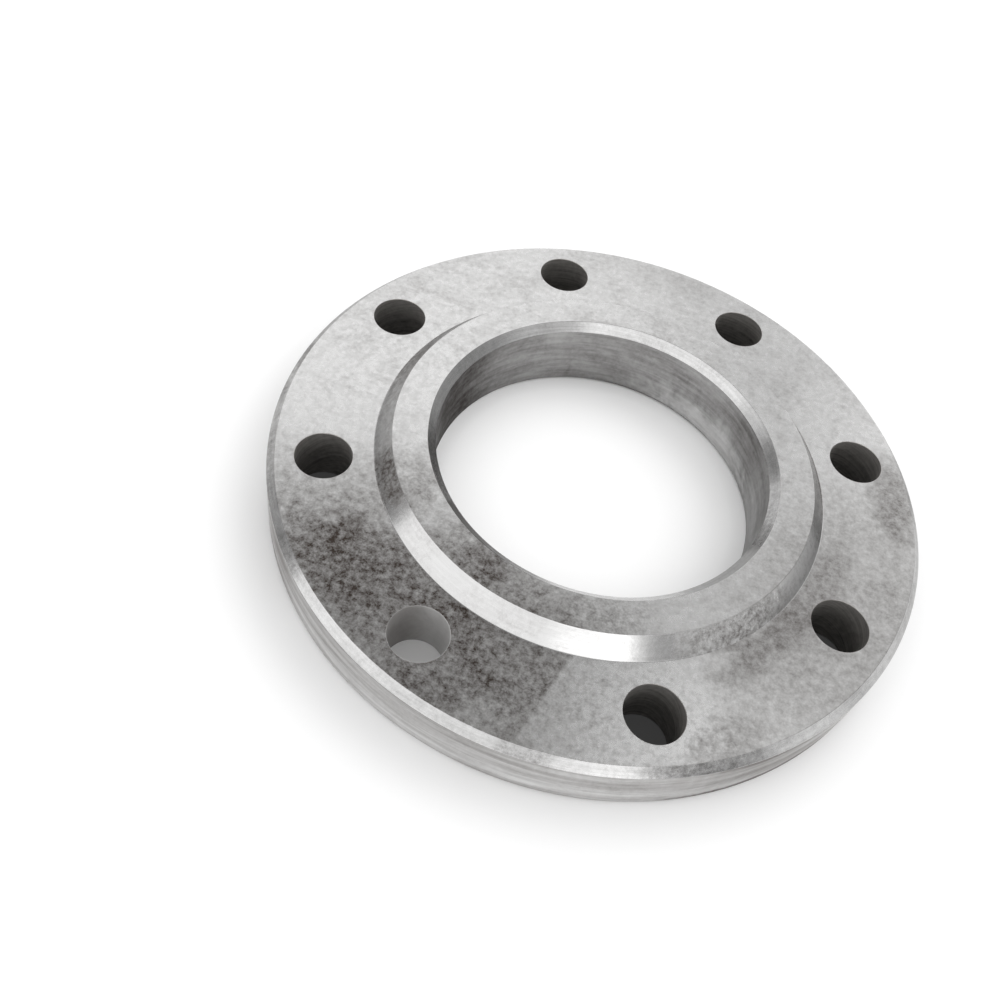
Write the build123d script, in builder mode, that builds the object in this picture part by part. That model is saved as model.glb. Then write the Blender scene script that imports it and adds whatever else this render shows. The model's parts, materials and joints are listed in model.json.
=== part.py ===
"""Flat steel pipe flange with a low coned boss, in millimetres.

One ring, turned all over from a forging and drilled for eight bolts. As sized
here it is 215 mm across, with a 110 mm bore and a 180 mm bolt circle. It lies
on its back face with the boss up: the origin is the centre of the back face,
and +Z runs along the bore towards the boss.
"""

import os

from build123d import *

# Bore, and the boss around its mouth
bore_diameter = 110.0
lip_width = 14.0
boss_height = 6.4
cone_width = 5.25

# Plate
plate_thickness = 20.0
foot_to_bolt_circle = 15.75
bolt_circle_to_rim = 17.5

# Bolt holes, drilled right through and spread evenly, two either side of each axis
bolt_count = 8
bolt_hole_diameter = 18.0

# Edges, each chamfer at 45 degrees
rim_chamfer = 2.5
bore_chamfer = 2.8
back_edge_break = 0.8
foot_fillet = 0.5
lip_edge_round = 0.3

# Radii from the bore outwards, and the height of the boss face
bore_radius = bore_diameter / 2
lip_radius = bore_radius + lip_width
foot_radius = lip_radius + cone_width
bolt_circle_radius = foot_radius + foot_to_bolt_circle
rim_radius = bolt_circle_radius + bolt_circle_to_rim
overall_height = plate_thickness + boss_height
first_bolt_angle = 360 / bolt_count / 2

with BuildPart() as flange:
    # Half section through the ring, turned about the bore's axis
    with BuildSketch(Plane.XZ):
        with BuildLine():
            Polyline(
                (bore_radius, 0),
                (rim_radius, 0),
                (rim_radius, plate_thickness),
                (foot_radius, plate_thickness),
                (lip_radius, overall_height),
                (bore_radius, overall_height),
                close=True,
            )
        make_face()
    revolve(axis=Axis.Z)

    # Sharp corners of the bore and the rim are broken where the ring lies on its back
    back_edges = flange.edges().group_by(Axis.Z)[0]
    chamfer(back_edges, length=back_edge_break)

    # On the front, the plate's outer corner and the bore's mouth have wide chamfers
    plate_edges = flange.edges().filter_by_position(Axis.Z, plate_thickness, plate_thickness)
    chamfer(plate_edges.sort_by(SortBy.RADIUS)[-1], length=rim_chamfer)
    mouth_edge = flange.edges().group_by(Axis.Z)[-1].sort_by(SortBy.RADIUS)[0]
    chamfer(mouth_edge, length=bore_chamfer)

    # The tool's nose leaves a small radius at the cone's foot, and its top corner is dulled
    plate_edges = flange.edges().filter_by_position(Axis.Z, plate_thickness, plate_thickness)
    fillet(plate_edges.sort_by(SortBy.RADIUS)[0], radius=foot_fillet)
    lip_edge = flange.edges().group_by(Axis.Z)[-1].sort_by(SortBy.RADIUS)[-1]
    fillet(lip_edge, radius=lip_edge_round)

    # Plain bolt holes, square to the plate
    with Locations(Plane.XY.offset(plate_thickness)):
        with PolarLocations(bolt_circle_radius, bolt_count, start_angle=first_bolt_angle):
            Hole(radius=bolt_hole_diameter / 2)

flange.part.label = "flange"

os.makedirs("parts", exist_ok=True)
export_step(flange.part, "parts/flange.step")
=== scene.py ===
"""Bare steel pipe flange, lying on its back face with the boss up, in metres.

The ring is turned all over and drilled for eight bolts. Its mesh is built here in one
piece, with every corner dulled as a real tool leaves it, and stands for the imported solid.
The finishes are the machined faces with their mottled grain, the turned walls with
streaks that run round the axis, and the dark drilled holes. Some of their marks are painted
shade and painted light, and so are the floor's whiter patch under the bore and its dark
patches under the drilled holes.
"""

import json
import logging
import math
from collections.abc import Sequence
from dataclasses import dataclass, field
from enum import IntEnum

import bmesh
import bpy
from mathutils import Matrix, Vector


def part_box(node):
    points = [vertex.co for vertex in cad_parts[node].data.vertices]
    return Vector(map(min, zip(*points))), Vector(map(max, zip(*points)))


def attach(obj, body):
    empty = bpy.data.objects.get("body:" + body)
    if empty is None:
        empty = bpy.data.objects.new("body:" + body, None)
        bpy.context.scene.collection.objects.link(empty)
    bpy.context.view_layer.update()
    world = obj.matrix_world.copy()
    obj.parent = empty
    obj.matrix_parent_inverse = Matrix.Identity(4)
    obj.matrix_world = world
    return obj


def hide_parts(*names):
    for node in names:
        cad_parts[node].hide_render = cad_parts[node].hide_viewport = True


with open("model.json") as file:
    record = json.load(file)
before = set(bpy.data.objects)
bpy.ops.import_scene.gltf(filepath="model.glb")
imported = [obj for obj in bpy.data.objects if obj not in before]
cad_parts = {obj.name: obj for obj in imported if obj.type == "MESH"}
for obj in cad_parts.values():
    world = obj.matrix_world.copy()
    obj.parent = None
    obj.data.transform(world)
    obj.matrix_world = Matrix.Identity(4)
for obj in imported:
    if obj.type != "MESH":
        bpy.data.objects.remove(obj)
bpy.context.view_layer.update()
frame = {"record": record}

LOG = logging.getLogger("flange")
NODE = "flange"
BODY = "root"

MM = 0.001

# The bolt hole with the cleaner wall, counted from 0, counter-clockwise from +X
CLEAN_HOLE = 5

# Half the size, in millimetres, of a stain or band of painted shade that has no end in one direction
ENDLESS = 10_000.0

# The inputs and the output of Blender's mix node by what it mixes, as their names aren't unique
MIX_SOCKETS = {"FLOAT": (2, 3, 0), "RGBA": (6, 7, 2)}

# The mean of Blender's noise
NOISE_MEAN = 0.5

Socket = bpy.types.NodeSocket
Value = float | Socket
Triple = tuple[float, float, float]
Vert = bmesh.types.BMVert
Loop = list[Vert]
Rows = list[list[Vert | None]]


def mount(name: str) -> dict:
    """Find one of the record's mounts by its name."""
    return next(entry for entry in frame["record"]["mounts"] if entry["name"] == name)


def hole_bearings() -> list[float]:
    """Give each bolt hole's bearing, in radians, counter-clockwise from +X."""
    count = mount("bolts")["dims"]["count"]
    return [math.tau * (hole + 0.5) / count for hole in range(count)]


def hole_centres() -> list[Triple]:
    """Place the bolt holes on the back face, in the order of their bearings."""
    reach = mount("bolts")["dims"]["pcd_mm"] * MM / 2
    return [(reach * math.cos(bearing), reach * math.sin(bearing), 0.0) for bearing in hole_bearings()]


class Graph:
    """Adds nodes to one node tree and joins their sockets."""

    def __init__(self, tree: bpy.types.NodeTree) -> None:
        """Keep the tree that the nodes go into."""
        self.tree = tree

    def node(self, kind: str, **settings: object) -> bpy.types.Node:
        """Add a node.

        Args:
            kind: what Blender calls the type of node, after ShaderNode.
            settings: properties of the node, by name.

        Returns:
            The new node.
        """
        made = self.tree.nodes.new("ShaderNode" + kind)
        for name, value in settings.items():
            setattr(made, name, value)
        return made

    def feed(self, socket: Socket, value: object) -> None:
        """Link a socket to another one, or give it a plain value.

        Args:
            socket: the input to feed.
            value: an output socket, or the plain value.
        """
        if isinstance(value, bpy.types.NodeSocket):
            self.tree.links.new(value, socket)
        else:
            socket.default_value = value

    def fill(self, node: bpy.types.Node, **inputs: object) -> bpy.types.Node:
        """Feed several inputs of a node.

        Args:
            node: the node.
            inputs: sockets or plain values by input name, with underscores for its spaces.

        Returns:
            The same node.
        """
        for name, value in inputs.items():
            self.feed(node.inputs[name.replace("_", " ")], value)
        return node

    def math(self, operation: str, *values: object, kind: str = "Math", out: str = "Value") -> Socket:
        """Work out a value or a vector from others.

        Args:
            operation: Blender's name for the operation, such as MULTIPLY.
            values: the operands, plain ones or sockets.
            kind: Math, or VectorMath where the operands are vectors.
            out: Value, or Vector where the result is one.

        Returns:
            The socket that holds the result.
        """
        made = self.node(kind, operation=operation)
        for socket, value in zip(made.inputs, values):
            self.feed(socket, value)
        return made.outputs[out]

    def split(self, vector: Socket) -> Sequence[Socket]:
        """Take a vector apart into its X, Y and Z."""
        return self.fill(self.node("SeparateXYZ"), Vector=vector).outputs

    def join(self, x: Value, y: Value, z: Value) -> Socket:
        """Make a vector from three values."""
        return self.fill(self.node("CombineXYZ"), X=x, Y=y, Z=z).outputs[0]

    def ramp(self, value: Value, start: Value, end: Value, low: float = 0.0, high: float = 1.0) -> Socket:
        """Turn a value into a smooth step.

        Args:
            value: what is read.
            start: where the step begins.
            end: where it is complete.
            low: the result up to start.
            high: the result from end on.

        Returns:
            The stepped value.
        """
        made = self.node("MapRange", interpolation_type="SMOOTHSTEP", clamp=True)
        self.fill(made, Value=value, From_Min=start, From_Max=end, To_Min=low, To_Max=high)
        return made.outputs[0]

    def blend(self, share: Value, first: object, second: object, kind: str = "RGBA") -> Socket:
        """Mix two colours or two plain values.

        Args:
            share: how much of the second there is, from 0 to 1.
            first: what there is at 0.
            second: what there is at 1.
            kind: Blender's name for what is mixed, RGBA or FLOAT.

        Returns:
            The mixture.
        """
        made = self.node("Mix", data_type=kind)
        low, high, result = MIX_SOCKETS[kind]
        self.feed(made.inputs[0], share)
        self.feed(made.inputs[low], first)
        self.feed(made.inputs[high], second)
        return made.outputs[result]

    def noise(self, place: Socket, scale: Value, detail: float, roughness: float,
              distortion: float = 0.0) -> Socket:
        """Read a cloud-like pattern, centred on zero.

        Args:
            place: where it is read.
            scale: its scale, in cycles for each unit of place.
            detail: how many finer layers it has.
            roughness: how strong they are.
            distortion: how far its clouds are pulled about.

        Returns:
            The tone.
        """
        made = self.node("TexNoise")
        self.fill(made, Vector=place, Scale=scale, Detail=detail, Roughness=roughness,
                  Distortion=distortion)
        return self.math("SUBTRACT", made.outputs[0], NOISE_MEAN)

    def reach(self, x: Value, y: Value) -> Socket:
        """Give the length of a flat offset."""
        return self.math("SQRT", self.math("ADD", self.math("MULTIPLY", x, x), self.math("MULTIPLY", y, y)))

    def turned(self, vector: Socket, bearing: Socket) -> Socket:
        """Turn a vector about Z.

        Args:
            vector: what is turned.
            bearing: the direction, in degrees, that comes to lie along +X.

        Returns:
            The turned vector.
        """
        back = self.math("MULTIPLY", self.math("RADIANS", bearing), -1.0)
        rotate = self.node("VectorRotate", rotation_type="Z_AXIS")
        return self.fill(rotate, Vector=vector, Angle=back).outputs[0]


@dataclass
class Group:
    """A shader node group, made once from the names of its sockets and placed where needed."""

    name: str
    vectors: tuple[str, ...]
    values: tuple[str, ...]
    results: tuple[str, ...]
    graph: Graph = field(init=False)
    given: dict[str, Socket] = field(init=False)
    exit: bpy.types.Node = field(init=False)

    def __post_init__(self) -> None:
        """Make the group's tree, its sockets and the node that holds its inputs."""
        tree = bpy.data.node_groups.new(self.name, "ShaderNodeTree")
        kinds = (("INPUT", "Vector", self.vectors), ("INPUT", "Float", self.values),
                 ("OUTPUT", "Float", self.results))
        for way, kind, names in kinds:
            for name in names:
                tree.interface.new_socket(name=name, in_out=way, socket_type="NodeSocket" + kind)
        self.graph = Graph(tree)
        entry = tree.nodes.new("NodeGroupInput")
        self.given = {name: entry.outputs[name] for name in self.vectors + self.values}
        self.exit = tree.nodes.new("NodeGroupOutput")

    def give(self, **results: Socket) -> None:
        """Link the group's outputs, by name."""
        self.graph.fill(self.exit, **results)

    def place(self, graph: Graph, label: str = "", **inputs: object) -> dict[str, Socket]:
        """Put a copy of the group into a material or the world.

        Args:
            graph: where it goes.
            label: what the copy is called in the tree.
            inputs: the values of its inputs, by name.

        Returns:
            Its output sockets, by name.
        """
        node = graph.node("Group", node_tree=self.graph.tree, label=label)
        graph.fill(node, **inputs)
        return {name: node.outputs[name] for name in self.results}


class SteelEffects:
    """The node groups that the finishes share."""

    # The detail, roughness and distortion of each pattern
    GRAIN_TONE = (3.0, 0.82)
    GRAIN_BUMPS = (2.0, 0.6)
    CLOUDS = (3.0, 0.8, 0.6)
    STREAKS = (3.0, 0.65)

    # What keeps the grain's bumps apart from its tone
    GRAIN_SHIFT = (0.31, 0.17, 0.07)

    # How much closer the streaks lie along the axis than away from it
    STREAK_RISE = 2.0

    # Where a mark starts to fade and where it ends, as shares of its size, and half a cut edge's blur
    STAIN_FADE = (0.35, 1.15)
    PATCH_FADE = (0.75, 1.15)
    PATCH_EDGE = 0.8 * MM

    # The least that the marks leave, and how far the clouds pull the marks' edges
    LEAST_DARK = 0.07
    LEAST_GRAINY = -0.15
    EDGE_WOBBLE = 1.2

    def __init__(self) -> None:
        """Build every group once."""
        self.grain = self._grain()
        self.clouds = self._clouds()
        self.streaks = self._streaks()
        self.stain_and_painted_light = self._stain_and_painted_light()
        self.patch = self._patch()

    def _grain(self) -> Group:
        """Make the fine uneven grain of bare steel.

        Returns:
            The group, which gives a tone centred on zero and a height in metres.
        """
        group = Group("steel_grain", ("Place",), ("Size", "Depth"), ("Tone", "Height"))
        graph, given = group.graph, group.given
        scale = graph.math("DIVIDE", 1.0, given["Size"])
        tone = graph.noise(given["Place"], scale, *self.GRAIN_TONE)
        shifted = graph.math("ADD", given["Place"], self.GRAIN_SHIFT, kind="VectorMath", out="Vector")
        bumps = graph.noise(shifted, scale, *self.GRAIN_BUMPS)
        group.give(Tone=tone, Height=graph.math("MULTIPLY", bumps, given["Depth"]))
        return group

    def _clouds(self) -> Group:
        """Make the smudges that drift over the steel.

        Returns:
            The group, which gives a tone centred on zero.
        """
        group = Group("steel_clouds", ("Place",), ("Size",), ("Tone",))
        graph, given = group.graph, group.given
        scale = graph.math("DIVIDE", 1.0, given["Size"])
        group.give(Tone=graph.noise(given["Place"], scale, *self.CLOUDS))
        return group

    def _streaks(self) -> Group:
        """Make the streaks that a turning tool leaves round the axis.

        Returns:
            The group, which gives a tone centred on zero and a height in metres.
        """
        group = Group("turning_streaks", ("Place",), ("Spacing", "Length", "Depth"), ("Tone", "Height"))
        graph, given = group.graph, group.given
        x, y, z = graph.split(given["Place"])
        outward = graph.math("MULTIPLY_ADD", z, self.STREAK_RISE, graph.reach(x, y))
        across = graph.math("DIVIDE", outward, given["Spacing"])
        around_x = graph.math("DIVIDE", x, given["Length"])
        around_y = graph.math("DIVIDE", y, given["Length"])
        tone = graph.noise(graph.join(around_x, around_y, across), 1.0, *self.STREAKS)
        group.give(Tone=tone, Height=graph.math("MULTIPLY", tone, given["Depth"]))
        return group

    def _stain_and_painted_light(self) -> Group:
        """Make a rounded mark with a soft uneven edge, laid along a circle about the bore's axis, for
        stains and for painted shade and painted light.

        Returns:
            The group, which gives the stain's mask.
        """
        values = ("Wobble", "Bearing", "Reach", "Half Length", "Half Width", "Height", "Half Height")
        group = Group("steel_stain_and_painted_light", ("Place",), values, ("Mask",))
        graph, given = group.graph, group.given
        x, y, z = graph.split(graph.turned(given["Place"], given["Bearing"]))
        arc = graph.math("MULTIPLY", graph.math("ARCTAN2", y, x), given["Reach"])
        along = graph.math("DIVIDE", arc, given["Half Length"])
        beyond = graph.math("SUBTRACT", graph.reach(x, y), given["Reach"])
        across = graph.math("DIVIDE", beyond, given["Half Width"])
        raised = graph.math("DIVIDE", graph.math("SUBTRACT", z, given["Height"]), given["Half Height"])
        away = graph.math("LENGTH", graph.join(along, across, raised), kind="VectorMath")
        distance = graph.math("ADD", away, given["Wobble"])
        group.give(Mask=graph.ramp(distance, *self.STAIN_FADE, 1.0, 0.0))
        return group

    def _patch(self) -> Group:
        """Make a patch between two straight edges that meet at a corner, fading away from it.

        Returns:
            The group, which gives the patch's mask.
        """
        values = ("Wobble", "Bearing", "Half Opening", "Size")
        group = Group("steel_patch", ("Place", "Corner"), values, ("Mask",))
        graph, given = group.graph, group.given
        offset = graph.math("SUBTRACT", given["Place"], given["Corner"], kind="VectorMath", out="Vector")
        x, y, _ = graph.split(graph.turned(offset, given["Bearing"]))
        opening = graph.math("RADIANS", given["Half Opening"])
        inward = graph.math("MULTIPLY", x, graph.math("SINE", opening))
        outward = graph.math("MULTIPLY", graph.math("ABSOLUTE", y), graph.math("COSINE", opening))
        inside = graph.ramp(graph.math("SUBTRACT", inward, outward), -self.PATCH_EDGE, self.PATCH_EDGE)
        away = graph.math("DIVIDE", graph.reach(x, y), given["Size"])
        spread = graph.math("ADD", away, given["Wobble"])
        group.give(Mask=graph.math("MULTIPLY", inside, graph.ramp(spread, *self.PATCH_FADE, 1.0, 0.0)))
        return group


@dataclass(frozen=True)
class StainAndPaintedLight:
    """A mark along a circle about the bore, which is a stain, painted shade or painted light.

    The bearing is in degrees, the sizes and the height of its middle are in millimetres, and
    dark, grainy and rough are what it adds to the finish.
    """

    bearing: float
    reach: float
    half_length: float
    half_width: float
    dark: float
    grainy: float = 0.0
    rough: float = 0.0
    height: float = 0.0
    half_height: float = ENDLESS


@dataclass(frozen=True)
class Patch:
    """A patch between two straight edges that meet at a corner, in degrees and millimetres."""

    corner: Triple
    bearing: float
    half_opening: float
    size: float
    dark: float
    grainy: float = 0.0


@dataclass(frozen=True)
class Grain:
    """Fine grain: size and depth in millimetres, and its contrast on clean and on dull steel."""

    size: float
    depth: float
    clean: float
    dull: float


@dataclass(frozen=True)
class Streaks:
    """Streaks round the axis: spacing, length and depth in millimetres, and their contrast."""

    spacing: float
    length: float
    depth: float
    contrast: float


@dataclass(frozen=True)
class SteelFinish:
    """One finish of the bare steel, from its colours to the marks on it, in millimetres.

    Every pattern moves the steel from its clean colour towards the dark one: base_dark is the
    share of dark that it has everywhere, clouds, grain and streaks vary it, and the marks add
    to it; some marks are painted shade or painted light. edge_tint dims what the steel mirrors
    at a grazing angle.
    """

    name: str
    steel: Triple
    dark: Triple
    roughness: float
    roughness_spread: float
    grain: Grain
    cloud_size: float
    clouds: float
    base_dark: float = 0.14
    metallic: float = 1.0
    edge_tint: float = 1.0
    streaks: Streaks | None = None
    stains_and_painted_light: tuple[StainAndPaintedLight, ...] = ()
    patches: tuple[Patch, ...] = ()

    def build(self, effects: SteelEffects) -> bpy.types.Material:
        """Make the material from the shared effects.

        Args:
            effects: the node groups to place in it.

        Returns:
            The material, with its shader and every pattern linked.
        """
        material = bpy.data.materials.new(self.name)
        material.use_nodes = True
        graph = Graph(material.node_tree)
        shader = material.node_tree.nodes["Principled BSDF"]
        tint = (self.edge_tint, self.edge_tint, self.edge_tint, 1.0)
        graph.fill(shader, Metallic=self.metallic, Specular_Tint=tint)
        place = graph.node("TexCoord").outputs["Object"]
        cloud = effects.clouds.place(graph, Place=place, Size=self.cloud_size * MM)["Tone"]
        dark, grainy, dulled = self._marks(graph, effects, place, cloud)
        grain = effects.grain.place(graph, Place=place, Size=self.grain.size * MM,
                                    Depth=self.grain.depth * MM)
        contrast = graph.math("MULTIPLY_ADD", grainy, self.grain.dull - self.grain.clean, self.grain.clean)
        shade = graph.math("MULTIPLY_ADD", grain["Tone"], contrast, dark)
        height = grain["Height"]
        if self.streaks:
            streaks = effects.streaks.place(graph, Place=place, Spacing=self.streaks.spacing * MM,
                                            Length=self.streaks.length * MM, Depth=self.streaks.depth * MM)
            shade = graph.math("MULTIPLY_ADD", streaks["Tone"], self.streaks.contrast, shade)
            height = graph.math("ADD", height, streaks["Height"])
        share = graph.math("MAXIMUM", graph.math("MINIMUM", shade, 1.0), 0.0)
        colour = graph.blend(share, (*self.steel, 1.0), (*self.dark, 1.0))
        rough = graph.math("MULTIPLY_ADD", share, self.roughness_spread, self.roughness)
        bump = graph.fill(graph.node("Bump"), Height=height, Distance=1.0).outputs[0]
        graph.fill(shader, Base_Color=colour, Roughness=graph.math("ADD", rough, dulled), Normal=bump)
        return material

    def _marks(self, graph: Graph, effects: SteelEffects, place: Socket,
               cloud: Socket) -> tuple[Value, Value, Value]:
        """Add up the clouds, stains, painted shade and light, and patches.

        Args:
            graph: the material's graph.
            effects: the node groups to place in it.
            place: where on the part the patterns are read.
            cloud: the cloud tone, which also makes the marks' edges uneven.

        Returns:
            How dark the steel is, how grainy, and how much rougher than its finish.
        """
        dark = graph.math("MULTIPLY_ADD", cloud, self.clouds, self.base_dark)
        grainy: Value = cloud
        dulled: Value = 0.0
        wobble = graph.math("MULTIPLY", cloud, effects.EDGE_WOBBLE)
        for stain_and_painted_light in self.stains_and_painted_light:
            mask = effects.stain_and_painted_light.place(
                graph, Place=place, Wobble=wobble, Bearing=stain_and_painted_light.bearing, Reach=stain_and_painted_light.reach * MM,
                Half_Length=stain_and_painted_light.half_length * MM, Half_Width=stain_and_painted_light.half_width * MM,
                Height=stain_and_painted_light.height * MM, Half_Height=stain_and_painted_light.half_height * MM)["Mask"]
            dark = graph.math("MULTIPLY_ADD", mask, stain_and_painted_light.dark, dark)
            grainy = graph.math("MULTIPLY_ADD", mask, stain_and_painted_light.grainy, grainy)
            dulled = graph.math("MULTIPLY_ADD", mask, stain_and_painted_light.rough, dulled)
        for patch in self.patches:
            corner = [value * MM for value in patch.corner]
            mask = effects.patch.place(
                graph, Place=place, Wobble=wobble, Corner=corner, Bearing=patch.bearing,
                Half_Opening=patch.half_opening, Size=patch.size * MM)["Mask"]
            dark = graph.math("MULTIPLY_ADD", mask, patch.dark, dark)
            grainy = graph.math("MULTIPLY_ADD", mask, patch.grainy, grainy)
        dark = graph.math("MAXIMUM", dark, effects.LEAST_DARK)
        return dark, graph.math("MAXIMUM", grainy, effects.LEAST_GRAINY), dulled


class Surface(IntEnum):
    """The finish of each part of the skin, numbered as the mesh's material slots."""

    FACE = 0
    RIM = 1
    CHAMFER = 2
    CONE = 3
    MOUTH = 4
    BORE = 5
    BACK = 6
    HOLE = 7
    CLEAN_HOLE = 8


@dataclass(frozen=True)
class Corner:
    """A corner of the turned section, and the surface that leaves it."""

    radius: float
    height: float
    rounding: float
    surface: Surface


@dataclass(frozen=True)
class Ring:
    """One circle of the mesh: its place in the section, its normal there and the surface after it."""

    radius: float
    height: float
    out: float
    up: float
    surface: Surface


def between(start: Vector, end: Vector, longest: float) -> list[Vector]:
    """Spread points along a straight span.

    Args:
        start: first end of the span, left out of the result.
        end: second end, also left out.
        longest: the most that two points may be apart.

    Returns:
        The points between the two ends.
    """
    steps = max(1, math.ceil((end - start).length / longest))
    return [start.lerp(end, step / steps) for step in range(1, steps)]


def turned_run(corners: Sequence[Corner], longest: float, arc_steps: int) -> list[Ring]:
    """Follow a stretch of the section with the solid on the right, rounding its corners.

    Args:
        corners: the stretch's corners; the first and last are its ends.
        longest: the widest row of faces.
        arc_steps: how many rows a rounded corner has.

    Returns:
        The rings, in order, with exact normals.
    """
    spots = [Vector((corner.radius, corner.height)) for corner in corners]
    rings: list[Ring] = []

    def add(spot: Vector, along: Vector, surface: Surface) -> None:
        """Add a ring at a spot of the section, facing left of the way that the section runs."""
        rings.append(Ring(spot.x, spot.y, -along.y, along.x, surface))

    here = spots[0]
    along = (spots[1] - spots[0]).normalized()
    add(here, along, corners[0].surface)
    for index in range(1, len(corners) - 1):
        ahead = (spots[index + 1] - spots[index]).normalized()
        turn = math.atan2(along.x * ahead.y - along.y * ahead.x, along.dot(ahead))
        reach = corners[index].rounding * math.tan(abs(turn) / 2)
        begin = spots[index] - along * reach
        surface = corners[index - 1].surface
        for spot in between(here, begin, longest):
            add(spot, along, surface)
        side = Vector((-along.y, along.x)) * math.copysign(corners[index].rounding, turn)
        centre = begin + side
        for step in range(arc_steps + 1):
            share = turn * step / arc_steps
            spoke = Matrix.Rotation(share, 2) @ (begin - centre)
            heading = Matrix.Rotation(share, 2) @ along
            add(centre + spoke, heading, surface if step < arc_steps else corners[index].surface)
        here = centre + Matrix.Rotation(turn, 2) @ (begin - centre)
        along = ahead
    for spot in between(here, spots[-1], longest):
        add(spot, along, corners[-2].surface)
    add(spots[-1], along, corners[-1].surface)
    return rings


@dataclass
class FlangeBody:
    """The one piece of the flange: its section, its holes and the mesh made from them."""

    # Heights and widths that the record doesn't hold, as in the solid
    plate_thickness: float = 20 * MM
    lip_width: float = 14 * MM
    cone_width: float = 5.25 * MM
    rim_chamfer: float = 2.5 * MM
    bore_chamfer: float = 2.8 * MM
    chamfer_angle: float = math.pi / 4
    back_break: float = 0.8 * MM
    foot_fillet: float = 0.5 * MM
    lip_round: float = 0.3 * MM

    # How far the tool and the deburring dull the other corners
    edge_round: float = 0.22 * MM
    hole_round: float = 0.2 * MM

    # Fineness of the mesh
    columns_per_hole: int = 60
    block_half_columns: int = 14
    block_rows: int = 20
    block_layers: int = 7
    block_crowding: float = 1.3
    longest_row: float = 3 * MM
    arc_steps: int = 4

    # The mesh in the making, and the normal of each of its points
    bm: bmesh.types.BMesh = field(init=False)
    normals: list[Vector] = field(init=False)

    def __post_init__(self) -> None:
        """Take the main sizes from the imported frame, and work out those that follow from them."""
        low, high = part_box(NODE)
        bolts = mount("bolts")["dims"]
        self.rim_radius = (high[0] - low[0]) / 2
        self.height = high[2] - low[2]
        self.bore_radius = mount("bore")["dims"]["r_mm"] * MM
        self.hole_radius = bolts["hole_r_mm"] * MM
        self.holes = bolts["count"]
        self.columns = self.holes * self.columns_per_hole
        self.lip_radius = self.bore_radius + self.lip_width
        self.foot_radius = self.lip_radius + self.cone_width
        slope = math.atan2(self.height - self.plate_thickness, self.cone_width)
        self.band_inner = self.foot_radius + self.foot_fillet * math.tan(slope / 2)
        edge = self.rim_radius - self.rim_chamfer
        self.band_outer = edge - self.edge_round * math.tan(self.chamfer_angle / 2)

    def inner_run(self) -> list[Ring]:
        """Go from the back face up the bore and down the boss's cone to the plate.

        Returns:
            The rings, in that order.
        """
        top = self.height
        bore = self.bore_radius
        dull = self.edge_round
        corners = [
            Corner(self.band_inner, 0, 0, Surface.BACK),
            Corner(bore + self.back_break, 0, dull, Surface.BORE),
            Corner(bore, self.back_break, dull, Surface.BORE),
            Corner(bore, top - self.bore_chamfer, dull, Surface.MOUTH),
            Corner(bore + self.bore_chamfer, top, dull, Surface.FACE),
            Corner(self.lip_radius, top, self.lip_round, Surface.CONE),
            Corner(self.foot_radius, self.plate_thickness, self.foot_fillet, Surface.FACE),
            Corner(self.band_inner, self.plate_thickness, 0, Surface.FACE),
        ]
        return turned_run(corners, self.longest_row, self.arc_steps)

    def outer_run(self) -> list[Ring]:
        """Go from the plate over its outer chamfer and down the rim to the back face.

        Returns:
            The rings, in that order.
        """
        rim = self.rim_radius
        plate = self.plate_thickness
        dull = self.edge_round
        corners = [
            Corner(self.band_outer, plate, 0, Surface.FACE),
            Corner(rim - self.rim_chamfer, plate, dull, Surface.CHAMFER),
            Corner(rim, plate - self.rim_chamfer, dull, Surface.RIM),
            Corner(rim, self.back_break, dull, Surface.RIM),
            Corner(rim - self.back_break, 0, dull, Surface.BACK),
            Corner(self.band_outer, 0, 0, Surface.BACK),
        ]
        return turned_run(corners, self.longest_row, self.arc_steps)

    def build(self) -> bpy.types.Object:
        """Make the mesh, with exact normals, as an object in the scene.

        Returns:
            The object, which has no material yet.
        """
        self.bm = bmesh.new()
        self.normals = []
        inner = self._skin(self.inner_run())
        outer = self._skin(self.outer_run())
        front = self._band(inner[-1], outer[0], self.plate_thickness, 1.0)
        back = self._band(inner[0], outer[-1], 0.0, -1.0)
        for hole in range(self.holes):
            self._drill(hole, front, back)
        mesh = bpy.data.meshes.new("flange_skin")
        self.bm.to_mesh(mesh)
        self.bm.free()
        mesh.normals_split_custom_set_from_vertices(self.normals)
        piece = bpy.data.objects.new("flange_ring", mesh)
        bpy.context.scene.collection.objects.link(piece)
        return piece

    def dress(self, piece: bpy.types.Object) -> None:
        """Put a finish on each surface of the skin.

        Args:
            piece: the flange's object, which has no material yet.
        """
        effects = SteelEffects()
        for finish in FINISHES:
            piece.data.materials.append(finish.build(effects))

    def _vertex(self, spot: Triple, normal: Triple) -> Vert:
        """Add a point and remember its normal."""
        self.normals.append(Vector(normal).normalized())
        return self.bm.verts.new(spot)

    def _quad(self, corners: Sequence[Vert], surface: Surface) -> None:
        """Add a smooth face.

        Args:
            corners: its points, counter-clockwise seen from outside.
            surface: its part of the skin.
        """
        face = self.bm.faces.new(corners)
        face.smooth = True
        face.material_index = surface

    def _circle(self, ring: Ring) -> Loop:
        """Add one ring of points about the bore's axis.

        Args:
            ring: its place in the section, and its normal there.

        Returns:
            The points, counter-clockwise from +X.
        """
        points = []
        for column in range(self.columns):
            angle = math.tau * column / self.columns
            cosine, sine = math.cos(angle), math.sin(angle)
            spot = (ring.radius * cosine, ring.radius * sine, ring.height)
            points.append(self._vertex(spot, (ring.out * cosine, ring.out * sine, ring.up)))
        return points

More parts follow.
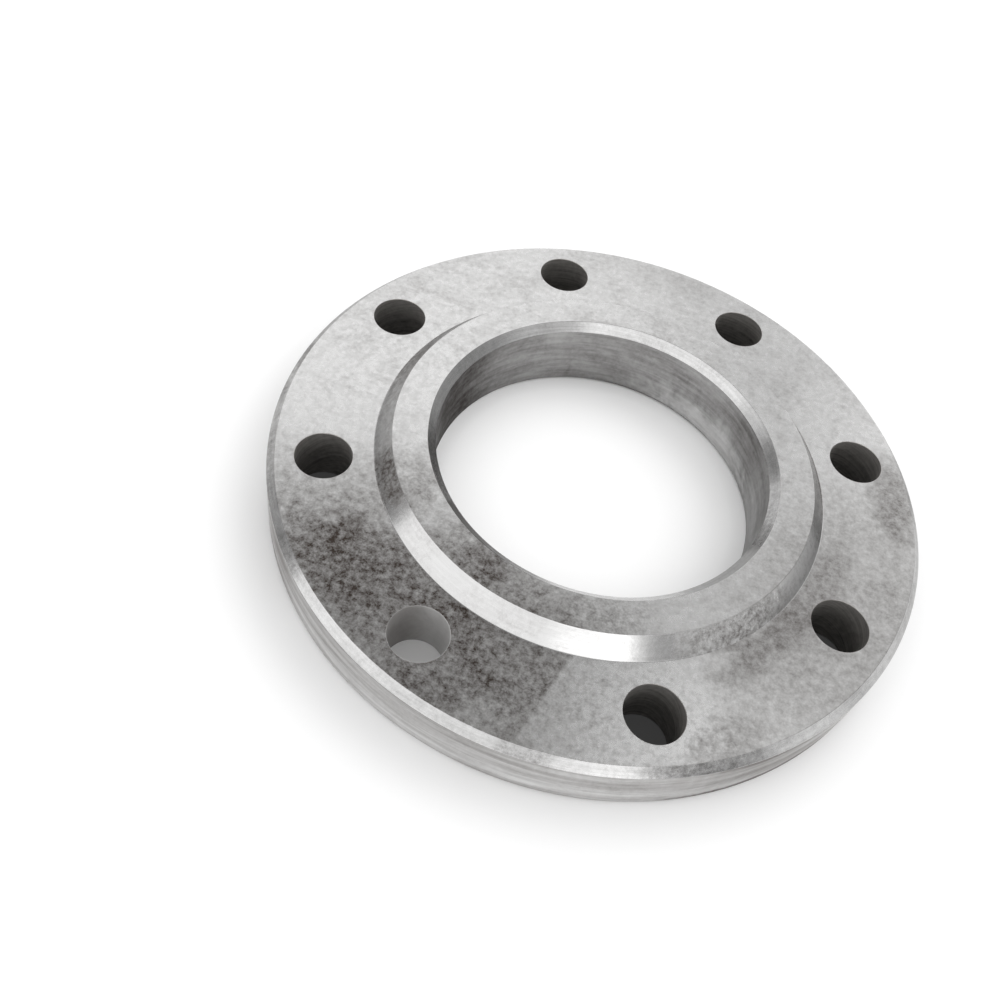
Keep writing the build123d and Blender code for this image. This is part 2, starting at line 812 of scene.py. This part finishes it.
    def _skin(self, run: list[Ring]) -> list[Loop]:
        """Turn a stretch of the section about the bore's axis.

        Args:
            run: the rings of the stretch, in order.

        Returns:
            The points of each ring.
        """
        loops = [self._circle(ring) for ring in run]
        for ring, first, second in zip(run, loops, loops[1:]):
            for column in range(self.columns):
                after = (column + 1) % self.columns
                self._quad((first[column], second[column], second[after], first[after]), ring.surface)
        return loops

    def _in_block(self, column: int) -> bool:
        """Tell whether a column's faces belong to the square block round a hole."""
        offset = column % self.columns_per_hole - self.columns_per_hole // 2
        return -self.block_half_columns <= offset < self.block_half_columns

    def _band(self, inner: Loop, outer: Loop, height: float, up: float) -> Rows:
        """Fill the flat band that holds the bolt holes, leaving a block open round each.

        Args:
            inner: the ring at its inner side.
            outer: the ring at its outer side.
            height: where the band lies.
            up: 1 for the front and -1 for the back.

        Returns:
            The band's points by row and column, None inside the blocks.
        """
        rows: Rows = [list(inner)]
        for row in range(1, self.block_rows):
            radius = self.band_inner + (self.band_outer - self.band_inner) * row / self.block_rows
            line: list[Vert | None] = []
            for column in range(self.columns):
                hidden = self._in_block(column) and self._in_block(column - 1)
                angle = math.tau * column / self.columns
                spot = (radius * math.cos(angle), radius * math.sin(angle), height)
                line.append(None if hidden else self._vertex(spot, (0, 0, up)))
            rows.append(line)
        rows.append(list(outer))
        surface = Surface.FACE if up > 0 else Surface.BACK
        for first, second in zip(rows, rows[1:]):
            for column in range(self.columns):
                if self._in_block(column):
                    continue
                after = (column + 1) % self.columns
                corners = [first[column], second[column], second[after], first[after]]
                self._quad(corners if up > 0 else corners[::-1], surface)
        return rows

    def _block_edge(self, rows: Rows, hole: int) -> Loop:
        """List the points round a hole's block.

        Args:
            rows: the band's points by row and column.
            hole: the hole's number, counter-clockwise from +X.

        Returns:
            The points, counter-clockwise seen from the front.
        """
        middle = hole * self.columns_per_hole + self.columns_per_hole // 2
        low, high = middle - self.block_half_columns, middle + self.block_half_columns
        edge = [rows[0][column] for column in range(high, low, -1)]
        edge += [rows[row][low] for row in range(self.block_rows)]
        edge += [rows[-1][column] for column in range(low, high)]
        edge += [rows[row][high] for row in range(self.block_rows, 0, -1)]
        return edge

    def _drill(self, hole: int, front: Rows, back: Rows) -> None:
        """Fill the blocks of one hole on both faces and line the hole between them.

        Args:
            hole: the hole's number, counter-clockwise from +X.
            front: the front band's points.
            back: the back band's points.
        """
        centre = Vector(hole_centres()[hole])
        edges = self._block_edge(front, hole), self._block_edge(back, hole)
        count = len(edges[0])
        start = hole_bearings()[hole] + math.pi - math.tau * self.block_half_columns / count
        angles = [start + math.tau * step / count for step in range(count)]
        spokes = [Vector((math.cos(angle), math.sin(angle), 0)) for angle in angles]
        mouth = self.hole_radius + self.hole_round
        wall = Surface.CLEAN_HOLE if hole == CLEAN_HOLE else Surface.HOLE

        def ring(radius: float, height: float, inward: float, up: float, edge: Loop | None = None,
                 share: float = 1.0) -> Loop:
            """Add a ring of points about the hole's axis.

            Args:
                radius: its radius.
                height: where it lies.
                inward: the share of its normal that points at the hole's axis.
                up: the share that points up.
                edge: the points round the block, for a ring on the flat.
                share: how far such a ring has come from that edge to the radius.

            Returns:
                The ring's points.
            """
            line = []
            for index, spoke in enumerate(spokes):
                spot = centre + spoke * radius + Vector((0, 0, height))
                if edge:
                    spot = edge[index].co.lerp(spot, share)
                line.append(self._vertex(tuple(spot), (-spoke.x * inward, -spoke.y * inward, up)))
            return line

        top, dull = self.plate_thickness, self.hole_round
        layers = range(1, self.block_layers + 1)
        shares = [1 - (1 - layer / self.block_layers) ** self.block_crowding for layer in layers]
        strips = [(edges[0], Surface.FACE)]
        strips += [(ring(mouth, top, 0.0, 1.0, edges[0], share), Surface.FACE) for share in shares]
        quarter = [math.pi / 2 * step / self.arc_steps for step in range(1, self.arc_steps + 1)]
        for angle in quarter:
            inward, up = math.sin(angle), math.cos(angle)
            strips.append((ring(mouth - dull * inward, top - dull + dull * up, inward, up), wall))
        rows = math.ceil((top - 2 * dull) / self.longest_row)
        for row in range(1, rows):
            height = top - dull - (top - 2 * dull) * row / rows
            strips.append((ring(self.hole_radius, height, 1.0, 0.0), wall))
        for angle in (0.0, *quarter):
            inward, up = math.cos(angle), -math.sin(angle)
            strips.append((ring(mouth - dull * inward, dull + dull * up, inward, up), wall))
        # The strip after the lining's last ring lies on the back face
        strips[-1] = (strips[-1][0], Surface.BACK)
        for share in reversed(shares[:-1]):
            strips.append((ring(mouth, 0.0, 0.0, -1.0, edges[1], share), Surface.BACK))
        strips.append((edges[1], Surface.BACK))
        for (first, surface), (second, _) in zip(strips, strips[1:]):
            for step in range(count):
                after = (step + 1) % count
                self._quad((first[step], first[after], second[after], second[step]), surface)


@dataclass(frozen=True)
class Panel:
    """A soft light round the flange, as its reflections show it: angles in degrees, strength 1 is white."""

    name: str
    bearing: float
    height: float
    half_width: float
    half_height: float
    side_blur: float
    end_blur: float
    strength: float


@dataclass
class Studio:
    """The pale floor, the soft light and the camera."""

    # The floor lies just below the flange, and floor_lift is how much it glows
    floor_size: float = 6.0
    floor_drop: float = 0.02 * MM
    floor_white: float = 0.9
    floor_lift: float = 0.02

    # Painted light that makes it whiter under the bore, painted shade that makes it darker under a drilled
    # hole, and from which radii
    bore_painted_light: float = 1.1
    bore_painted_light_start: float = 54 * MM
    bore_painted_light_full: float = 48 * MM
    hole_shade: float = 0.09
    shade_inner: float = 10 * MM
    shade_outer: float = 13 * MM

    # The even light on the floor and on the steel
    dome: float = 1.1
    ambient: float = 0.34

    camera_spot: Triple = (-0.00673, -0.21865, 0.2655)
    camera_turn: float = 5.98
    camera_height: float = 52.227
    camera_roll: float = 13.455
    lens: float = 35.893

    # What lights the floor: a broad soft key over the even dome, which is dimmer overhead
    floor_panels: tuple[Panel, ...] = (
        Panel("key", 50, 42, 42, 20, 20, 16, 1.4),
        Panel("overhead_gap", 0, 90, 200, 30, 10, 10, -0.2),
    )

    # What the steel mirrors
    steel_panels: tuple[Panel, ...] = (
        Panel("far_window", 112, 46, 27, 8, 6, 4, 0.9),
        Panel("far_wall", 95, 26, 42, 15, 10, 8, 0.5),
        Panel("far_right", 60, 42, 14, 26, 5, 8, 0.55),
        Panel("right_high", 58, 69, 15, 11, 6, 6, 0.55),
        Panel("front_wall", -107, 45, 58, 15, 10, 6, 0.95),
        Panel("front_window", -111, 12, 56, 14.5, 4, 5, 0.9),
        Panel("front_lamp", -68, 10, 18, 9, 6, 5, 0.85),
        Panel("right_strip", -9, 12, 11, 14, 4, 6, 0.55),
        Panel("left_low", 136, 12, 14, 16, 6, 6, 0.45),
        Panel("left_wall", -178, 38, 18, 14, 6, 6, 0.55),
        Panel("front_gap", -35, 34, 26, 17, 10, 8, 0.5),
    )

    def build(self) -> None:
        """Make the floor, the light and the camera."""
        self._floor()
        self._world()
        self._camera()

    def _floor(self) -> None:
        """Lay a plain pale floor that keeps the flange's shadow, with painted light under the bore and
        painted shade under every drilled hole but the clean one.
        """
        mesh = bpy.data.meshes.new("floor")
        bm = bmesh.new()
        bmesh.ops.create_grid(bm, x_segments=1, y_segments=1, size=self.floor_size / 2)
        bm.to_mesh(mesh)
        bm.free()
        floor = bpy.data.objects.new("floor", mesh)
        floor.location.z = -self.floor_drop
        bpy.context.scene.collection.objects.link(floor)
        material = bpy.data.materials.new("pale_floor")
        material.use_nodes = True
        nodes = material.node_tree.nodes
        nodes.remove(nodes["Principled BSDF"])
        graph = Graph(material.node_tree)
        place = graph.node("TexCoord").outputs["Object"]
        middle = graph.math("LENGTH", place, kind="VectorMath")
        # Painted light: the floor's colour is whiter under the bore
        painted_bore_tone = self.floor_white * self.bore_painted_light
        tone = graph.ramp(middle, self.bore_painted_light_full, self.bore_painted_light_start, painted_bore_tone, self.floor_white)
        # Painted shade: the floor's colour is darker under every drilled hole but the clean one
        for hole, centre in enumerate(hole_centres()):
            if hole != CLEAN_HOLE:
                away = graph.math("DISTANCE", place, centre, kind="VectorMath")
                shade = graph.ramp(away, self.shade_inner, self.shade_outer, self.hole_shade, 1.0)
                tone = graph.math("MULTIPLY", shade, tone)
        paint = graph.fill(graph.node("BsdfDiffuse"), Color=graph.join(tone, tone, tone))
        path = graph.node("LightPath")
        seen = graph.math("MAXIMUM", path.outputs["Is Camera Ray"], path.outputs["Is Glossy Ray"])
        strength = graph.math("MULTIPLY", seen, self.floor_lift)
        lift = graph.fill(graph.node("Emission"), Strength=strength)
        both = graph.node("AddShader")
        graph.feed(both.inputs[0], paint.outputs[0])
        graph.feed(both.inputs[1], lift.outputs[0])
        graph.fill(nodes["Material Output"], Surface=both.outputs[0])
        mesh.materials.append(material)

    def _panel_group(self) -> Group:
        """Make one soft light.

        Returns:
            The group, which gives the light's share in the direction that is looked in.
        """
        sizes = ("Height", "Half Width", "Half Height", "Side Blur", "End Blur")
        group = Group("soft_panel", ("Direction",), ("Bearing", *sizes), ("Light",))
        graph, given = group.graph, group.given
        radians = {name: graph.math("RADIANS", given[name]) for name in sizes}
        x, y, z = graph.split(graph.turned(given["Direction"], given["Bearing"]))
        sideways = graph.math("ABSOLUTE", graph.math("ARCTAN2", y, x))
        raised = graph.math("ABSOLUTE", graph.math("SUBTRACT", graph.math("ARCSINE", z), radians["Height"]))
        light = []
        ways = ((sideways, "Half Width", "Side Blur"), (raised, "Half Height", "End Blur"))
        for offset, size, blur in ways:
            start = graph.math("SUBTRACT", radians[size], radians[blur])
            end = graph.math("ADD", radians[size], radians[blur])
            light.append(graph.math("SUBTRACT", 1.0, graph.ramp(offset, start, end)))
        group.give(Light=graph.math("MULTIPLY", *light))
        return group

    def _world(self) -> None:
        """Light the floor with an even white dome, and show the steel the soft lights."""
        world = bpy.data.worlds.new("studio")
        bpy.context.scene.world = world
        world.use_nodes = True
        world.cycles.sampling_method = "NONE"
        graph = Graph(world.node_tree)
        direction = graph.node("TexCoord").outputs["Generated"]
        group = self._panel_group()

        def shine(level: float, panels: Sequence[Panel]) -> Value:
            """Add up the light from the direction that is looked in.

            Args:
                level: the even light from everywhere.
                panels: the soft lights on top of it.

            Returns:
                The light.
            """
            total: Value = level
            for panel in panels:
                light = group.place(
                    graph, panel.name, Direction=direction, Bearing=panel.bearing, Height=panel.height,
                    Half_Width=panel.half_width, Half_Height=panel.half_height,
                    Side_Blur=panel.side_blur, End_Blur=panel.end_blur)["Light"]
                total = graph.math("ADD", total, graph.math("MULTIPLY", light, panel.strength))
            return total

        path = graph.node("LightPath")
        on_floor = shine(self.dome, self.floor_panels)
        on_steel = shine(self.ambient, self.steel_panels)
        level = graph.blend(path.outputs["Is Glossy Ray"], on_floor, on_steel, "FLOAT")
        seen = graph.math("MAXIMUM", level, path.outputs["Is Camera Ray"])
        graph.fill(world.node_tree.nodes["Background"], Color=(1, 1, 1, 1), Strength=seen)

    def _camera(self) -> None:
        """Stand the camera where the photograph was taken from."""
        data = bpy.data.cameras.new("camera")
        data.lens = self.lens
        camera = bpy.data.objects.new("camera", data)
        turn, height, roll = map(math.radians, (self.camera_turn, self.camera_height, self.camera_roll))
        flat = math.cos(height)
        back = Vector((math.sin(turn) * flat, -math.cos(turn) * flat, math.sin(height)))
        right = (-back).cross(Vector((0, 0, 1))).normalized()
        over = back.cross(right)
        across = right * math.cos(roll) + over * math.sin(roll)
        upright = over * math.cos(roll) - right * math.sin(roll)
        turned = Matrix((across, upright, back)).transposed()
        camera.matrix_world = Matrix.Translation(self.camera_spot) @ turned.to_4x4()
        bpy.context.scene.collection.objects.link(camera)
        bpy.context.scene.camera = camera


# The steel's colours, clean and dark, in linear light; the dark ones also colour the painted shade
PALE = (0.7, 0.698, 0.694)
TURNED = (0.68, 0.678, 0.675)
RIM_STEEL = (0.77, 0.768, 0.764)
DULL_AND_SHADE = (0.137, 0.121, 0.113)
SOOT_AND_SHADE = (0.043, 0.036, 0.032)
PATINA_AND_SHADE = (0.067, 0.0535, 0.046)

FACE = SteelFinish(
    "machined_face", PALE, PATINA_AND_SHADE, 0.27, 0.1, Grain(2.5, 0.01, 0.8, 1.8), 16, 0.6,
    base_dark=0.12, streaks=Streaks(3.0, 25, 0.004, 0.18),
    stains_and_painted_light=(
        # Partly a painted dark reflection and partly a darker, grainier patina, over the front left of the
        # face
        StainAndPaintedLight(249, 90, 82, 46, 0.53, 1.0),
        StainAndPaintedLight(228, 63, 9, 9, -0.18, -0.2),
        StainAndPaintedLight(216, 62, 12, 8, 0.1, 0.2),
        StainAndPaintedLight(249, 63, 10, 8, 0.18),
        StainAndPaintedLight(250, 79, 12, 8, 0.1),
        StainAndPaintedLight(285, 63, 14, 9, 0.05, 0.6),
        StainAndPaintedLight(340, 88, 62, 36, 0.28, 0.15),
        StainAndPaintedLight(342, 79, 26, 9, 0.12),
        StainAndPaintedLight(329, 79, 14, 8, 0.16, 0.1),
        StainAndPaintedLight(312, 79, 20, 9, 0.26, 0.2),
        StainAndPaintedLight(303, 100, 18, 9, 0.2, 0.2),
        StainAndPaintedLight(14, 100, 22, 10, 0.34, 0.3),
        StainAndPaintedLight(220, 100, 14, 9, 0.12, 0.2),
        StainAndPaintedLight(229, 90, 26, 18, 0.12),
        StainAndPaintedLight(188, 84, 20, 40, -0.11, -0.2),
        StainAndPaintedLight(95, 92, 50, 24, 0.0, -0.1),
        StainAndPaintedLight(243, 103, 20, 8, -0.07),
        StainAndPaintedLight(264, 101, 9, 8, -0.18),
        StainAndPaintedLight(86, 99, 24, 9, 0.1),
        StainAndPaintedLight(290, 90, 30, 20, 0.0, 0.5),
    ),
    patches=(
        Patch((9.2, -71.5, 0), 316.8, 63.2, 42, -0.36, -0.3),
        Patch((-59, -44, 0), 244, 14, 22, 0.12),
        Patch((67, 69, 0), 285, 38, 34, -0.07),
    ))
RIM = SteelFinish(
    "turned_rim", RIM_STEEL, DULL_AND_SHADE, 0.3, 0.1, Grain(2.0, 0.015, 0.3, 1.5), 18, 0.3,
    base_dark=0.37, streaks=Streaks(5.2, 50, 0.02, 1.3),
    stains_and_painted_light=(
        StainAndPaintedLight(260, 107.5, 150, 9, 0.14, height=16, half_height=5),
        StainAndPaintedLight(246, 107.5, 60, 9, 0.14, height=8.2, half_height=1.2),
        StainAndPaintedLight(250, 107.5, 90, 9, -0.12, height=4.6, half_height=4),
        # Painted shadow: a thin dark line all round the rim's bottom edge
        StainAndPaintedLight(0, 107.5, ENDLESS, 9, 0.3, height=0.4, half_height=0.9),
        StainAndPaintedLight(316, 107.5, 42, 9, 0.34, height=13, half_height=13),
        # Painted shadow down the rim on the front left
        StainAndPaintedLight(214, 107.5, 26, 9, 0.35),
        # Painted shadow: a darker, grainier line along the rim's bottom edge at the front right
        StainAndPaintedLight(318, 107.5, 50, 9, 0.9, 0.3, height=0.6, half_height=2.2),
    ))
CHAMFER = SteelFinish(
    "turned_chamfer", TURNED, SOOT_AND_SHADE, 0.2, 0.1, Grain(2.5, 0.01, 0.45, 1.7), 18, 0.34,
    base_dark=0.12, edge_tint=0.85, streaks=Streaks(0.9, 25, 0.02, 0.35),
    stains_and_painted_light=(
        # Painted dark reflection on the outer chamfer at the left, which is also grainier
        StainAndPaintedLight(158, 106, 60, 6, 0.5, 0.3),
        StainAndPaintedLight(196, 106, 46, 6, 0.32, 0.3),
        StainAndPaintedLight(2, 106, 44, 6, 0.26, 0.2),
        StainAndPaintedLight(23, 106, 24, 6, 0.4, 0.2),
        StainAndPaintedLight(17, 106, 22, 6, 0.2),
        StainAndPaintedLight(342, 106, 22, 6, 0.1),
        StainAndPaintedLight(222, 106, 12, 6, 0.32, 0.5),
        StainAndPaintedLight(272, 106, 10, 6, 0.3, 0.5),
        StainAndPaintedLight(298, 106, 22, 6, 0.3, 1.0),
    ))
CONE = SteelFinish(
    "turned_cone", TURNED, DULL_AND_SHADE, 0.14, 0.15, Grain(2.0, 0.02, 0.3, 2.4), 16, 0.25,
    base_dark=0.08, edge_tint=0.7, streaks=Streaks(1.6, 25, 0.01, 0.35),
    stains_and_painted_light=(
        StainAndPaintedLight(315, 71.6, 26, 9, 0.27, 1.0, 0.25),
        StainAndPaintedLight(345, 71.6, 20, 9, 0.0, 0.4, 0.3),
        StainAndPaintedLight(213, 71.6, 14, 9, 0.55, 0.6),
        StainAndPaintedLight(160, 71.6, 30, 9, 0.4, 0.3),
        StainAndPaintedLight(186, 71.6, 50, 9, 0.15, 0.4, 0.25),
        StainAndPaintedLight(22, 71.6, 30, 9, 0.6, 0.3),
    ))
MOUTH = SteelFinish(
    "bore_chamfer", TURNED, SOOT_AND_SHADE, 0.2, 0.1, Grain(2.0, 0.02, 0.4, 1.5), 16, 0.3,
    edge_tint=0.85, streaks=Streaks(2.0, 25, 0.02, 0.4),
    stains_and_painted_light=(
        # Painted shade on the bore's chamfer at the front left, which is also grainier
        StainAndPaintedLight(221, 56.4, 28, 6, 0.55, 0.3),
        StainAndPaintedLight(244, 56.4, 24, 6, 0.68, 0.3),
        StainAndPaintedLight(324, 56.4, 20, 6, -0.1, 0.0, 0.25),
        StainAndPaintedLight(344, 56.4, 10, 6, 0.2),
        StainAndPaintedLight(19, 56.4, 14, 6, 0.25, 0.2),
        StainAndPaintedLight(357, 56.4, 14, 6, 0.15, 0.2),
        StainAndPaintedLight(120, 56.4, 16, 6, 0.15),
    ))
BORE = SteelFinish(
    "bored_wall", TURNED, SOOT_AND_SHADE, 0.34, 0.1, Grain(2.0, 0.015, 0.3, 0.9), 14, 0.4,
    base_dark=0.56, edge_tint=0.6, streaks=Streaks(4.4, 22, 0.02, 0.6),
    stains_and_painted_light=(
        # Painted dark reflection on the left of the bore wall, which is also grainier
        StainAndPaintedLight(176, 55, 32, 9, 0.35, 0.3),
        StainAndPaintedLight(33, 55, 15, 9, 0.15, height=20, half_height=12),
        # Painted shadow: a thin dark line along the bore's bottom edge on the far side
        StainAndPaintedLight(75, 55, 70, 9, 0.9, height=0.2, half_height=0.9),
        # Painted reflection of the floor: the bore wall is lighter low down on the far right
        StainAndPaintedLight(53, 55, 30, 9, -0.4, height=3, half_height=10),
        StainAndPaintedLight(10, 55, 20, 9, -0.2, height=4, half_height=9),
    ))
BACK = SteelFinish(
    "machined_back", PALE, DULL_AND_SHADE, 0.28, 0.1, Grain(2.0, 0.03, 0.8, 2.0), 20, 1.2, base_dark=0.25)
HOLE = SteelFinish(
    "drilled_hole", (0.5, 0.48, 0.46), (0.06, 0.056, 0.052), 0.4, 0.1, Grain(2.0, 0.02, 0.6, 0.6),
    14, 0.6, base_dark=0.1, metallic=0.75, streaks=Streaks(1.8, 25, 0.04, 1.1),
    # Painted shade: every drilled hole is darker deeper down
    stains_and_painted_light=(StainAndPaintedLight(0, 90, ENDLESS, 30, 0.5, height=5, half_height=14),))
REAMED = SteelFinish(
    "reamed_hole", (0.6, 0.596, 0.59), DULL_AND_SHADE, 0.5, 0.1, Grain(2.0, 0.01, 0.2, 0.2), 14, 0.3,
    metallic=0.3, streaks=Streaks(0.9, 25, 0.01, 0.1),
    stains_and_painted_light=(StainAndPaintedLight(240, 90, 13, 13, 0.5),))

# In the order of the mesh's material slots
FINISHES = (FACE, RIM, CHAMFER, CONE, MOUTH, BORE, BACK, HOLE, REAMED)


def main() -> None:
    """Build the flange and its studio, and say where each piece belongs."""
    logging.basicConfig(level=logging.INFO, format="%(name)s: %(message)s")
    bpy.context.scene.view_settings.view_transform = "Standard"
    body = FlangeBody()
    piece = body.build()
    body.dress(piece)
    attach(piece, BODY)
    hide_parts(NODE)
    LOG.info("%s: %d faces", piece.name, len(piece.data.polygons))
    Studio().build()


if __name__ == "__main__":
    main()
